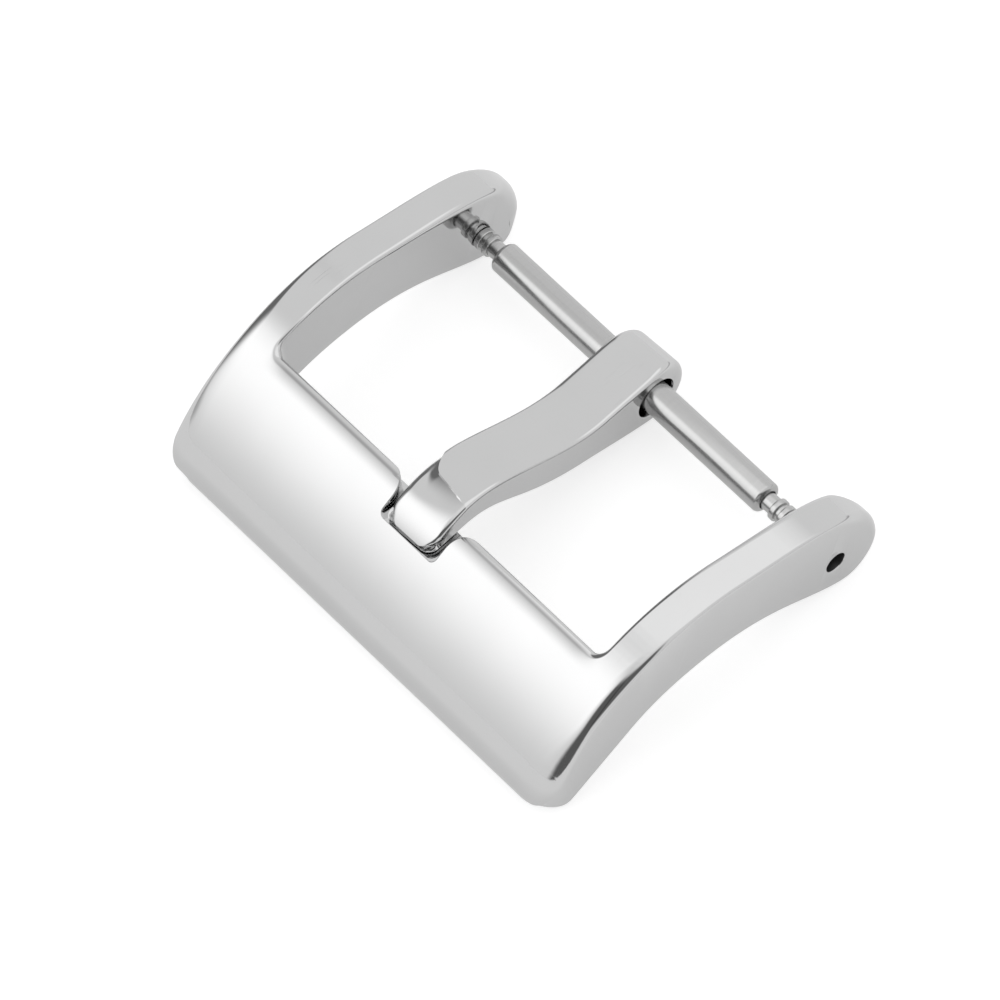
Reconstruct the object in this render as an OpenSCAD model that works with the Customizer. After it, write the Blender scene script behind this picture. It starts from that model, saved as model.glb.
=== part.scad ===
// Pin buckle for a watch strap, with its tongue and its sprung strap bar.
// X runs along the strap bar, +Y from the front plate to the ears, +Z up.
// The origin is on the surface the buckle lies on, in the middle of the footprint.

/* [Strap and bar] */
// Gap between the two ears, which is the width of strap that fits
strap_gap = 20; // [16:0.5:24]
// Outside diameter of the bar's tube
bar_d = 1.43; // [1.35:0.01:1.6]
// End play of the whole bar between the ears
bar_play = 1.15; // [0.6:0.05:1.25]
// Diameter of the bar's tips, which sit in the ears
tip_d = 0.9; // [0.7:0.05:1]
// How far a tip's end stays below the outer face of its ear
tip_sink = 0.13; // [0.05:0.01:0.2]

/* [Frame] */
// Width of each arm
arm_w = 1.7; // [1.6:0.1:2.4]
// From the bar's axis to the front edge of the window
reach = 10.98; // [9.5:0.1:13]
// Length of the front plate, from the window to the lip
plate_l = 5.12; // [4.4:0.1:5.8]
// Height of the crown, the highest line of the frame
crest_h = 6.48; // [6.1:0.02:6.9]
// Height that the plate's top face comes down to at the lip
lip_h = 1.3; // [1.2:0.05:1.7]
// Height of the arch under the arms
arch_h = 2.82; // [2.4:0.02:3.1]
// How far the ears reach behind the bar's axis
ear_l = 2.48; // [2.3:0.01:2.7]
// Radius of the upper half of the ears' round ends
ear_top_r = 3.04; // [2.7:0.02:3.3]
// Radius of the lower half of the ears' round ends
ear_under_r = 1.65; // [1.5:0.01:1.8]
// Height of the bar's axis
bar_h = 1.95; // [1.9:0.01:2.1]
// Radius of the front corners' upper edge, seen from above
corner_r = 0.6; // [0.5:0.05:1]
// Radius of the front corners' lower edge, seen from above
corner_under_r = 1.5; // [1.2:0.1:1.8]
// Radius of the window's corners, seen from above
window_r = 0.5; // [0.4:0.1:0.9]
// Radius of the polished edges
edge_r = 0.15; // [0.1:0.01:0.2]
// Radius of the edges at the ears' round ends
ear_edge_r = 0.5; // [0.2:0.05:0.55]
// Radius of the lip's upper edge
lip_top_r = 0.35; // [0.2:0.05:0.4]
// Radius of the lip's lower edge
lip_under_r = 1.1; // [0.7:0.05:1.1]

/* [Seat for the tongue] */
// Length of the seat that is let into the plate, from the window
seat_l = 1.82; // [1.6:0.02:2.2]
// Height of the step at the front end of the seat
seat_step = 0.31; // [0.2:0.01:0.4]
// Radius of the seat's front corners, seen from above
seat_r = 0.25; // [0.2:0.05:0.5]

/* [Tongue] */
// Width of the tongue
tongue_w = 2.74; // [2.4:0.02:3]
// Thickness of the tongue over its seat
tongue_t = 1.3; // [1.1:0.05:1.5]
// Wall of the tongue's hub round its bore
hub_wall = 0.5; // [0.4:0.01:0.55]
// Radial play of the tongue on the bar
hub_play = 0.28; // [0.2:0.02:0.3]
// How far the tongue is out of square with the bar, which its play allows
lean = 2.4; // [0:0.2:2.6]
// Radius of the tongue's edges
tongue_edge = 0.13; // [0.08:0.01:0.2]
// Radius of the edges at the hub's round end
hub_edge = 0.42; // [0.2:0.02:0.44]

/* [Inside the bar] */
// Wall of the tube
tube_wall = 0.15; // [0.1:0.01:0.18]
// Diameter of the spring's wire
wire_d = 0.18; // [0.14:0.01:0.2]
// Number of the spring's curls
curls = 18; // [14:1:18]
// Length of each plunger's head inside the tube
head_l = 1; // [0.8:0.1:1.4]
// Length of plunger that shows beside the tube, which is its stroke
shank_l = 0.52; // [0.45:0.01:0.6]

/* [Hidden] */

// Fits and running gaps
pin_fit = 0.05;
slide_fit = 0.05;
face_gap = 0.03;
seat_side = 0.265;
seat_mouth_r = 1.1;
seat_gap = 0.1;
hang_gap = 0.04;

// Shape of the frame's side view
crest_back = 3.58;
crown_end = 14;
arch_back = 3.28;
foot_drop = 0.28;
flat_beyond = 0.3;
lip_slope = 0.49;
ear_edge_l = 2.4;
inner_edge_r = 0.3;
ear_inner_r = 0.95;
ear_inner_l = 1.35;
corner_edge_r = 0.42;
window_edge_r = 0.42;
lip_blend = 0.7;
side_share = 0.3;
arc_share = 0.5;
ear_top = 42.5;
ear_under = -105;
ear_split = -35;
ear_cap = 5;
arm_top_bend = [0.273, 0.444];
arm_under_bend = [0.27, 0.49];
drop_blend_l = 2;

// Shape of the tongue's side view
flat_l = 2.7;
waist_l = 4.2;
waist_h = 1.6;
waist_slope = 0.32;
heel_gap = 0.04;
crest_l = 2;
tip_clear = 0.15;
tip_x = -0.1;
tip_edge_h = 0.22;
tip_corner_r = 0.5;
hub_split = -20;
hub_cap = 6;
hub_edge_l = 2;
hub_back = 0.24;
hub_up = 0.03;
hub_under = -100;
tongue_top_bend = [0.32, 0.285];
tongue_nose_bend = [0.54, 0.12];
tongue_neck_bend = [0.25, 0.25];
tongue_under_bend = [0.546, 0.295];

// Shape of the plungers and of the tube's closed ends
flange_d = 1.04;
flange_l = 0.28;
groove_l = 0.18;
tip_round = 0.12;
flange_round = 0.05;
crimp_l = 0.3;
crimp_round = 0.2;

// Facets
round_steps = 4;
across_steps = 7;
tongue_across = 3;
edge_share = 0.45;
ear_steps = 9;
bend_steps = 12;
crown_steps = 9;
corner_steps = 20;
hub_steps = 10;
curl_rings = 8;
wire_sides = 6;
turned_fn = 48;

// Heights and distances that follow from the sizes above
outer_x = strap_gap / 2 + arm_w;
inner_x = strap_gap / 2;
lip_y = reach + plate_l;
bar_y = (lip_y - ear_l) / 2;
crest_y = reach - crest_back;
arch_y = reach - arch_back;
crown_run = lip_y - crest_y;
crown_drop = crest_h - lip_h;
crown_r = (pow(crown_run, 2) + pow(crown_drop, 2)) / (2 * crown_drop);
ear_top_c = [ear_l - ear_top_r, ear_under_r];
ear_under_c = [ear_l - ear_under_r, ear_under_r];
flat_y = reach + flat_beyond;
flat_h = (lip_y - flat_y) * lip_slope - foot_drop;
hole_d = tip_d + 2 * pin_fit;
tip_l = arm_w - tip_sink - face_gap;
bore_r = bar_d / 2 + hub_play;
hub_r = bore_r + hub_wall;
bore_c = [0, bar_h - hub_play + hang_gap];
hub_c = bore_c + [hub_back, hub_up];
seat_z = crown_z(reach + seat_l) - seat_step;
seat_w = tongue_w + 2 * seat_side;
tip_y = reach + seat_l - tip_clear;
tip_under = seat_z + seat_gap;
hub_x = tip_x - tip_y * tan(lean);
plunger_out = shank_l + 2 * flange_l + groove_l;
tube_x0 = -inner_x + face_gap + plunger_out;
tube_x1 = inner_x - bar_play - plunger_out;
tube_r = bar_d / 2;
tube_bore_r = tube_r - tube_wall;
head_r = tube_bore_r - slide_fit;
shank_r = head_r - 0.11;
crimp_r = shank_r + slide_fit;
head_in = crimp_l + face_gap + head_l;
spring_x0 = tube_x0 + head_in + face_gap;
spring_x1 = tube_x1 - head_in - face_gap;

// Height of the plate's top face at a distance d in front of the bar
function crown_z(d) = crest_h - crown_r + sqrt(pow(crown_r, 2) - pow(d - crest_y, 2));

// Height of the plate's underside there: flat from the lip to the window, then up into the arch
function under_z(d) =
    let (l = flat_y - arch_y, t = max(0, min(1, (flat_y - d) / l)))
    d > flat_y ? (lip_y - d) * lip_slope - foot_drop :
    flat_h + (pow(t, 3) - 2 * pow(t, 2) + t) * l * lip_slope
        + (3 * pow(t, 2) - 2 * pow(t, 3)) * (arch_h - flat_h);

function polar(c, r, a) = [c[0] + r * cos(a), c[1] + r * sin(a)];
function mix(a, b, t) = a + (b - a) * t;
function smooth(t) = let (s = max(0, min(1, t))) s * s * (3 - 2 * s);
function reversed(v) = [for (i = [len(v) - 1:-1:0]) v[i]];

// Points after a up to b on a curve that leaves a along da and reaches b along db
function bend(a, da, b, db, shares, steps) =
    let (l = norm(b - a), p = a + shares[0] * l * da, q = b - shares[1] * l * db)
    [for (i = [1:steps]) let (t = i / steps, u = 1 - t)
        u * u * u * a + 3 * u * u * t * p + 3 * u * t * t * q + t * t * t * b];

// Outward directions along a side path; side is 1 for a top path, -1 for an underside
function outward(path, side) =
    [for (i = [0:len(path) - 1])
        let (d = path[min(i + 1, len(path) - 1)] - path[max(i - 1, 0)])
        side * [d[1], -d[0]] / norm(d)];

// Section across a rounded bar: share of the width, step in from the side, drop from the face
function section(across) = concat(
    [for (k = [0:round_steps]) let (a = 90 * k / round_steps) [0, 1 - cos(a), 1 - sin(a)]],
    [for (i = [1:across]) [i / (across + 1), 1, 0]],
    [for (k = [round_steps:-1:0]) let (a = 90 * k / round_steps) [1, 1 - cos(a), 1 - sin(a)]]);

// Joins the rings of a loft, whose first half is the top and second half the underside
module loft(rings) {
    n = len(rings[0]);
    last = (len(rings) - 1) * n;
    sides = [for (s = [0:len(rings) - 2]) for (j = [0:n - 1])
        let (a = s * n + j, b = s * n + (j + 1) % n)
        each [[a, b, b + n], [a, b + n, a + n]]];
    front = [for (j = [0:n / 2 - 2]) let (b = n - 1 - j)
        each [[j, b, b - 1], [j, b - 1, j + 1]]];
    back = [for (j = [0:n / 2 - 2]) let (a = last + j, b = last + n - 1 - j)
        each [[a, a + 1, b - 1], [a, b - 1, b]]];
    polyhedron([for (r = rings) each r], concat(sides, front, back), convexity = 8);
}

// Side view of an arm, from the ear's tip to where the window's corner starts
function arm_top() =
    let (
        ear_end = polar(ear_top_c, ear_top_r, ear_top),
        nose_steps = ear_steps / 3,
        crown_c = [-crest_y, crest_h - crown_r],
        crown_start = polar(crown_c, crown_r, 90 - crown_end),
        corner_a = 90 + asin((reach - window_r - crest_y) / crown_r))
    concat(
        [for (i = [0:nose_steps - 1])
            polar(ear_under_c, ear_under_r, mix(ear_split + ear_cap, 0, i / nose_steps))],
        [for (i = [nose_steps:ear_steps])
            polar(ear_top_c, ear_top_r, ear_top * (i - nose_steps) / (ear_steps - nose_steps))],
        bend(ear_end, [-sin(ear_top), cos(ear_top)], crown_start,
            [-cos(crown_end), sin(crown_end)], arm_top_bend, bend_steps),
        [for (i = [1:crown_steps])
            polar(crown_c, crown_r, mix(90 - crown_end, corner_a, i / crown_steps))]);
function arm_under() =
    concat(
        [for (i = [0:ear_steps])
            polar(ear_under_c, ear_under_r, mix(ear_split - ear_cap, ear_under, i / ear_steps))],
        bend(polar(ear_under_c, ear_under_r, ear_under), [sin(ear_under), -cos(ear_under)], [-arch_y, arch_h],
            [-1, 0], arm_under_bend, bend_steps),
        [for (i = [1:crown_steps])
            let (d = mix(arch_y, reach - window_r, i / crown_steps)) [-d, under_z(d)]]);

// Ring across an arm: p and q are its points on the top and the underside
function arm_ring(p, np, q, nq) =
    let (
        marks = section(across_steps),
        wp = smooth((p[0] + reach - window_r) / drop_blend_l),
        wq = smooth((q[0] + reach - window_r) / drop_blend_l),
        up = mix([0, 1], np, wp),
        down = mix([0, -1], nq, wq))
    concat(
        [for (m = marks) arm_point(p, up, m)],
        reversed([for (m = marks) arm_point(q, down, m)]));
function arm_point(p, n, m) =
    let (e = arm_edges(p[0]), r = m[0] < 0.5 ? e[0] : e[1])
    [mix(inner_x + e[0] * m[1], outer_x - e[1] * m[1], m[0]),
        p[0] - n[0] * r * m[2], p[1] - n[1] * r * m[2]];

// Radii of an arm's inner and outer edges, which grow towards the ear's round end
function arm_edges(y) =
    let (
        inner_w = smooth(1 + (y - ear_l) / ear_inner_l),
        outer_w = smooth(1 + (y - ear_l) / ear_edge_l))
    [mix(mix(edge_r, inner_edge_r, smooth(1 + y / reach)), ear_inner_r, inner_w),
        mix(edge_r, ear_edge_r, outer_w)];

// Outer edge of the plate seen from above, with a corner of radius r: a point, the direction
// inwards and the share of the way from the side's plain edges to the lip's round ones
function plate_edge(t, r) =
    let (
        side_y = window_r - reach,
        arc_t = (t - side_share) / arc_share,
        a = -90 * arc_t,
        front_t = (arc_t - 1) * arc_share / (1 - side_share - arc_share),
        corner_x = outer_x - r)
    arc_t <= 0 ? [[outer_x, mix(side_y, r - lip_y, t / side_share)], [-1, 0], 0] :
    arc_t <= 1 ? [polar([corner_x, r - lip_y], r, a), -[cos(a), sin(a)], arc_t / lip_blend] :
        [[mix(corner_x, min(corner_x, inner_x - window_r), front_t), -lip_y], [0, 1], 1];

// Ring from the window's edge out to the plate's edge, for the share t round the corner
function plate_ring(t) =
    let (
        marks = section(across_steps),
        a = -90 * t,
        corner_c = [inner_x - window_r, window_r - reach],
        top_edge = plate_edge(t, corner_r),
        under_edge = plate_edge(t, corner_under_r),
        w = top_edge[2],
        top_r = w < 0.5 ? mix(edge_r, corner_edge_r, smooth(2 * w)) :
            mix(corner_edge_r, lip_top_r, smooth(2 * w - 1)),
        under_r = mix(edge_r, lip_under_r, smooth(under_edge[2])),
        inner_top_r = mix(edge_r, window_edge_r, smooth(t)),
        top = [for (m = marks) plate_point(corner_c, a, top_edge, m, inner_top_r, top_r)],
        under = [for (m = marks) plate_point(corner_c, a, under_edge, m, edge_r, under_r)])
    concat(
        [for (i = [0:len(marks) - 1])
            let (p = top[i], r = marks[i][0] < 0.5 ? inner_top_r : top_r)
            [p[0], p[1], crown_z(-p[1]) - r * marks[i][2]]],
        reversed([for (i = [0:len(marks) - 1])
            let (p = under[i], r = marks[i][0] < 0.5 ? edge_r : under_r)
            [p[0], p[1], under_z(-p[1]) + r * marks[i][2]]]));
function plate_point(c, a, edge, m, inner_r, r) =
    mix(polar(c, window_r + inner_r * m[1], a), edge[0] + edge[1] * r * m[1], m[0]);

function half_frame() =
    let (top = arm_top(), under = arm_under(), nt = outward(top, 1), nu = outward(under, -1))
    concat(
        [for (i = [0:len(top) - 1]) arm_ring(top[i], nt[i], under[i], nu[i])],
        [for (i = [1:corner_steps]) plate_ring(i / corner_steps)]);

function mirrored(rings) = [for (r = reversed(rings)) [for (p = r) [-p[0], p[1], p[2]]]];

// Puts a shape that is drawn from the point under the bar into the buckle's frame
module placed() {
    translate([0, bar_y, 0]) children();
}

module seat_cut() {
    front = -(reach + seat_l);
    mouth = seat_w / 2 + seat_mouth_r;
    translate([0, 0, seat_z]) linear_extrude(crest_h) {
        difference() {
            translate([-mouth, -reach - seat_mouth_r]) square([2 * mouth, seat_mouth_r + window_r]);
            for (side = [-1, 1])
                translate([side * mouth, -reach - seat_mouth_r]) circle(seat_mouth_r, $fn = turned_fn);
        }
        translate([-seat_w / 2, front + seat_r]) square([seat_w, seat_l + window_r]);
        translate([-seat_w / 2 + seat_r, front]) square([seat_w - 2 * seat_r, seat_l]);
        for (side = [-1, 1])
            translate([side * (seat_w / 2 - seat_r), front + seat_r]) circle(seat_r, $fn = turned_fn);
    }
}

module frame() {
    half = half_frame();
    color("gainsboro") placed() difference() {
        loft(concat(half, mirrored(half)));
        translate([-outer_x - 1, 0, bar_h]) rotate([0, 90, 0])
            cylinder(d = hole_d, h = 2 * outer_x + 2, $fn = turned_fn);
        seat_cut();
    }
}

// Side view of the tongue, from the back of its hub to its tip
function tongue_top() =
    let (
        hub_top = hub_c + [0, hub_r],
        flat_end = [-flat_l, hub_top[1]],
        crest = [-(tip_y - crest_l), tip_under + tongue_t],
        tip = [-tip_y, tip_under + tip_edge_h])
    concat(
        [for (i = [0:hub_steps]) polar(hub_c, hub_r, mix(hub_split + hub_cap, 90, i / hub_steps))],
        [for (i = [1:3]) mix(hub_top, flat_end, i / 3)],
        bend(flat_end, [-1, 0], crest, [-1, 0], tongue_top_bend, 14),
        bend(crest, [-1, 0], tip, [-0.24, -0.97], tongue_nose_bend, 8));
function tongue_under() =
    let (
        waist = [-waist_l, waist_h],
        waist_d = [-1, waist_slope] / norm([1, waist_slope]),
        heel = [-(tip_y - crest_l), tip_under + heel_gap],
        tip = [-tip_y, tip_under])
    concat(
        [for (i = [0:hub_steps])
            polar(hub_c, hub_r, mix(hub_split - hub_cap, hub_under, i / hub_steps))],
        bend(polar(hub_c, hub_r, hub_under), [sin(hub_under), -cos(hub_under)], waist, waist_d,
            tongue_neck_bend, 5),
        bend(waist, waist_d, heel, [-1, 0], tongue_under_bend, 12),
        [for (i = [1:8]) mix(heel, tip, i / 8)]);

// How far the tongue's side draws in at a distance e from an end whose corners have radius r
function corner_inset(e, r) = r - sqrt(max(0, pow(r, 2) - pow(r - max(0, min(r, e)), 2)));

function tongue_row(p, n, r) =
    let (
        half = tongue_w / 2 - corner_inset(p[0] + tip_y, tip_corner_r))
    [for (m = section(tongue_across))
        [mix(-half + r * m[1], half - r * m[1], m[0]), p[0] - n[0] * r * m[2], p[1] - n[1] * r * m[2]]];

module tongue() {
    top = tongue_top();
    under = tongue_under();
    nt = outward(top, 1);
    nu = outward(under, -1);
    rings = [for (i = [0:len(top) - 1])
        let (
            w = smooth(1 + (top[i][0] - hub_c[0] - hub_r) / hub_edge_l),
            r = min(mix(tongue_edge, hub_edge, w), edge_share * norm(top[i] - under[i])))
        concat(tongue_row(top[i], nt[i], r), reversed(tongue_row(under[i], nu[i], r)))];
    color("silver") placed() translate([hub_x, 0, 0]) rotate([0, 0, lean]) difference() {
        loft(rings);
        translate([-tongue_w, bore_c[0], bore_c[1]]) rotate([0, 90, 0])
            cylinder(r = bore_r, h = 2 * tongue_w, $fn = turned_fn);
    }
}

// Turns a profile of [radius, distance along the bar] about the bar's axis
module turned(profile) {
    placed() translate([0, 0, bar_h]) rotate([0, 90, 0])
        rotate_extrude($fn = turned_fn) polygon(profile);
}

module bar_tube() {
    rim = [for (a = [0:22.5:90]) crimp_round * [sin(a), 1 - cos(a)]];
    low = [for (p = rim) [tube_r - crimp_round + p[0], tube_x0 + p[1]]];
    high = [for (p = reversed(rim)) [tube_r - crimp_round + p[0], tube_x1 - p[1]]];
    color("lightgray") turned(concat(
        [[crimp_r, tube_x0]], low, high,
        [[crimp_r, tube_x1], [crimp_r, tube_x1 - crimp_l], [tube_bore_r, tube_x1 - crimp_l],
            [tube_bore_r, tube_x0 + crimp_l], [crimp_r, tube_x0 + crimp_l]]));
}

// Profile of a plunger whose tip points along dir, from the tube's end at x
function flange(s) = let (r = flange_d / 2, c = flange_round)
    [[r - c, s], [r, s + c], [r, s + flange_l - c], [r - c, s + flange_l]];
function plunger_profile(x, dir) =
    let (
        groove_s = shank_l + flange_l,
        tip_s = groove_s + groove_l + flange_l,
        tip_r = tip_d / 2,
        head_s = -crimp_l - face_gap,
        points = concat(
            [[0, head_s - head_l], [head_r, head_s - head_l], [head_r, head_s], [shank_r, head_s],
                [shank_r, shank_l]],
            flange(shank_l), [[shank_r, groove_s], [shank_r, groove_s + groove_l]],
            flange(groove_s + groove_l),
            [[tip_r, tip_s], [tip_r, tip_s + tip_l - tip_round],
                [tip_r - tip_round, tip_s + tip_l], [0, tip_s + tip_l]]))
    [for (p = points) [p[0], x + dir * p[1]]];

module plunger_left() {
    color("darkgray") turned(plunger_profile(tube_x0, -1));
}

module plunger_right() {
    color("darkgray") turned(plunger_profile(tube_x1, 1));
}

// Centre line of the spring, which runs between the two heads
coil_r = tube_bore_r - wire_d / 2 - 0.09;
coil_x0 = spring_x0 + wire_d / 2;
coil_x1 = spring_x1 - wire_d / 2;
function coil_point(t) = [mix(coil_x0, coil_x1, t), coil_r * cos(360 * curls * t),
    coil_r * sin(360 * curls * t)];
coil_line = [for (i = [0:curls * curl_rings]) coil_point(i / (curls * curl_rings))];
coil_gap = min([for (i = [0:len(coil_line) - 1]) for (j = [i + curl_rings / 2:1:len(coil_line) - 1])
    norm(coil_line[i] - coil_line[j])]) - wire_d;
echo(coil_gap = coil_gap);

module coil_spring() {
    n = len(coil_line);
    pitch_a = atan2((coil_x1 - coil_x0) / curls, 2 * PI * coil_r);
    rings = [for (i = [0:n - 1])
        let (
            a = 360 * i / curl_rings,
            out = [0, cos(a), sin(a)],
            side = [cos(pitch_a), sin(pitch_a) * sin(a), -sin(pitch_a) * cos(a)])
        [for (k = [0:wire_sides - 1]) let (b = 360 * k / wire_sides)
            coil_line[i] + wire_d / 2 * (cos(b) * out + sin(b) * side)]];
    color("gray") placed() translate([0, 0, bar_h])
        polyhedron([for (r = rings) each r], concat(
            [for (i = [0:n - 2]) for (k = [0:wire_sides - 1])
                let (a = i * wire_sides + k, b = i * wire_sides + (k + 1) % wire_sides)
                each [[a, b, b + wire_sides], [a, b + wire_sides, a + wire_sides]]],
            [for (k = [1:wire_sides - 2]) [0, k + 1, k]],
            [for (k = [1:wire_sides - 2]) let (s = (n - 1) * wire_sides) [s, s + k, s + k + 1]]),
            convexity = 12);
}

frame();
tongue();
bar_tube();
coil_spring();
plunger_left();
plunger_right();
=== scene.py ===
import math
import bmesh
import bpy
import numpy as np
from mathutils import Matrix, Vector


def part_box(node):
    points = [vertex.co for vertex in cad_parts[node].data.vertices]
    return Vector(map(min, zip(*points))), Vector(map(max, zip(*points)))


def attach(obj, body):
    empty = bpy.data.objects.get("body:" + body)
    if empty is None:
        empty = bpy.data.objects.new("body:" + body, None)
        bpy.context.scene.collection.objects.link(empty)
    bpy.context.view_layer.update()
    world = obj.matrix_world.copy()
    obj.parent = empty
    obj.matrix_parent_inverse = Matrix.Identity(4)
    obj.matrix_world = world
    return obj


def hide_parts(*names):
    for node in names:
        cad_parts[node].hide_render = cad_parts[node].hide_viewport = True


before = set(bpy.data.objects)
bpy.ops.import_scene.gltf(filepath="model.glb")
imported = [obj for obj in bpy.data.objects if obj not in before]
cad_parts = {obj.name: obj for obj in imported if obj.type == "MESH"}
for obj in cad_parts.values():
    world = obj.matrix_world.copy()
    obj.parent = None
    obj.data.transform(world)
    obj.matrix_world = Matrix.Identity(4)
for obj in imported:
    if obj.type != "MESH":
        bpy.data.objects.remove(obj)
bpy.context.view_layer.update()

# Polished pin buckle for a watch strap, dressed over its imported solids.
# Shapes below are in millimetres, measured from the point under the bar's axis; meshes are in metres.

mm = 0.001
weldDistance = 1e-8   # in metres; points closer than this become one
sharpAngle = 32     # degrees between faces above which an edge stays sharp
evenWeight = 50     # how much more a large face counts than a small one in a smooth corner
drillSteps = 96     # sides of a drilled hole
cutPast = 1.0       # how far a drill or a cutter runs past the metal
drillCone = ((1.3, -0.15), (0.3, 0.35))   # its cone's points, out from the hole and in from the face, in rims
tubeLow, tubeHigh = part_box("bar_tube")
barY = (tubeLow.y + tubeHigh.y) / 2 / mm
barH = (tubeLow.z + tubeHigh.z) / 2 / mm
print("frame loaded, bar axis at y %.3f z %.3f mm" % (barY, barH))


# shape helpers

def polar(centre, radius, degrees):
    a = math.radians(degrees)
    return np.array([centre[0] + radius * math.cos(a), centre[1] + radius * math.sin(a)])


def mixed(a, b, share):
    return a + (b - a) * share


def eased(t):
    t = max(0.0, min(1.0, t))
    return t * t * (3 - 2 * t)


def ramp(value, low, high):
    return eased((value - low) / (high - low))


def bent(a, leave, b, reach, shares, steps):
    # points after a up to b on a curve that leaves along one direction and arrives along another
    a, b, leave, reach = (np.array(v, float) for v in (a, b, leave, reach))
    span = np.linalg.norm(b - a)
    p, q = a + shares[0] * span * leave, b - shares[1] * span * reach
    points = []
    for i in range(1, steps + 1):
        t = i / steps
        u = 1 - t
        points.append(u ** 3 * a + 3 * u * u * t * p + 3 * u * t * t * q + t ** 3 * b)
    return points


def facing(path, side):
    # outward directions along a side view's line
    found = []
    for i in range(len(path)):
        d = path[min(i + 1, len(path) - 1)] - path[max(i - 1, 0)]
        found.append(side * np.array([d[1], -d[0]]) / np.linalg.norm(d))
    return found


def crossMarks(roundSteps, acrossSteps):
    # share of the width, step in from the side, drop from the face, for a bar with rounded edges
    arc = [math.radians(90 * k / roundSteps) for k in range(roundSteps + 1)]
    left = [(0, 1 - math.cos(a), 1 - math.sin(a)) for a in arc]
    middle = [(i / (acrossSteps + 1), 1, 0) for i in range(1, acrossSteps + 1)]
    return left + middle + [(1, m[1], m[2]) for m in reversed(left)]


def meshObject(name, points, faces):
    data = bpy.data.meshes.new(name)
    data.from_pydata([tuple(p) for p in points], [], faces)
    made = bmesh.new()
    made.from_mesh(data)
    bmesh.ops.remove_doubles(made, verts=made.verts, dist=weldDistance)
    bmesh.ops.recalc_face_normals(made, faces=made.faces)
    made.to_mesh(data)
    made.free()
    obj = bpy.data.objects.new(name, data)
    bpy.context.scene.collection.objects.link(obj)
    return obj


def lofted(name, rings, place):
    # rings are closed, with the top in their first half and the underside in their second
    count = len(rings[0])
    points = [place(p) for ring in rings for p in ring]
    faces = []
    for s in range(len(rings) - 1):
        for j in range(count):
            a, b = s * count + j, s * count + (j + 1) % count
            faces.append((a, b, b + count, a + count))
    last = (len(rings) - 1) * count
    for j in range(count // 2 - 1):
        b = count - 1 - j
        faces.append((j, b, b - 1, j + 1))
        faces.append((last + j, last + j + 1, last + b - 1, last + b))
    return meshObject(name, points, faces)


def turnedSolid(name, profile, steps, place, closed=False):
    # profile holds (radius, distance along the axis)
    points, faces = [], []
    for radius, along in profile:
        for k in range(steps):
            a = 2 * math.pi * k / steps
            points.append(place((along, radius * math.cos(a), radius * math.sin(a))))
    spans = len(profile) if closed else len(profile) - 1
    for s in range(spans):
        t = (s + 1) % len(profile)
        for k in range(steps):
            m = (k + 1) % steps
            faces.append((s * steps + k, s * steps + m, t * steps + m, t * steps + k))
    if not closed:
        faces.append(tuple(range(steps - 1, -1, -1)))
        faces.append(tuple((len(profile) - 1) * steps + k for k in range(steps)))
    return meshObject(name, points, faces)


def prism(name, outlines, place):
    # outlines are closed loops of the same count, one above the other
    count = len(outlines[0])
    points = [place(p) for loop in outlines for p in loop]
    faces = [tuple(range(count - 1, -1, -1))]
    for s in range(len(outlines) - 1):
        for k in range(count):
            m = (k + 1) % count
            faces.append((s * count + k, s * count + m, (s + 1) * count + m, (s + 1) * count + k))
    faces.append(tuple((len(outlines) - 1) * count + k for k in range(count)))
    return meshObject(name, points, faces)


def cutAway(obj, *cutters):
    for cutter in cutters:
        step = obj.modifiers.new("cut", "BOOLEAN")
        step.operation = "DIFFERENCE"
        step.solver = "EXACT"
        step.object = cutter
    bpy.context.view_layer.update()
    shown = obj.evaluated_get(bpy.context.evaluated_depsgraph_get())
    cut = bpy.data.meshes.new_from_object(shown)
    obj.modifiers.clear()
    old = obj.data
    obj.data = cut
    bpy.data.meshes.remove(old)
    for cutter in cutters:
        data = cutter.data
        bpy.data.objects.remove(cutter)
        bpy.data.meshes.remove(data)


def smoothSides(obj):
    obj.data.shade_smooth()
    obj.data.set_sharp_from_angle(angle=math.radians(sharpAngle))
    even = obj.modifiers.new("evenNormals", "WEIGHTED_NORMAL")
    even.mode = "FACE_AREA"
    even.weight = evenWeight
    even.keep_sharp = True


def dressed(obj, body, node, material):
    obj.data.materials.clear()
    obj.data.materials.append(material)
    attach(obj, body)
    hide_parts(node)
    print("%s: %d faces" % (obj.name, len(obj.data.polygons)))


def shadeInHoles(obj, material, within, beyond):
    # faces close to the bar's axis and far enough out along it get a second material, painted near-black as
    # the shade inside the ear holes
    obj.data.materials.append(material)
    for face in obj.data.polygons:
        away = max(math.hypot(p.y / mm - barY, p.z / mm - barH)
                   for p in (obj.data.vertices[v].co for v in face.vertices))
        if away < within and abs(face.center.x) / mm > beyond:
            face.material_index = 1


def fromBar(p):
    return (p[0] * mm, (p[1] + barY) * mm, p[2] * mm)


def alongBar(p):
    return (p[0] * mm, (p[1] + barY) * mm, (p[2] + barH) * mm)


# shader helper

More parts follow.
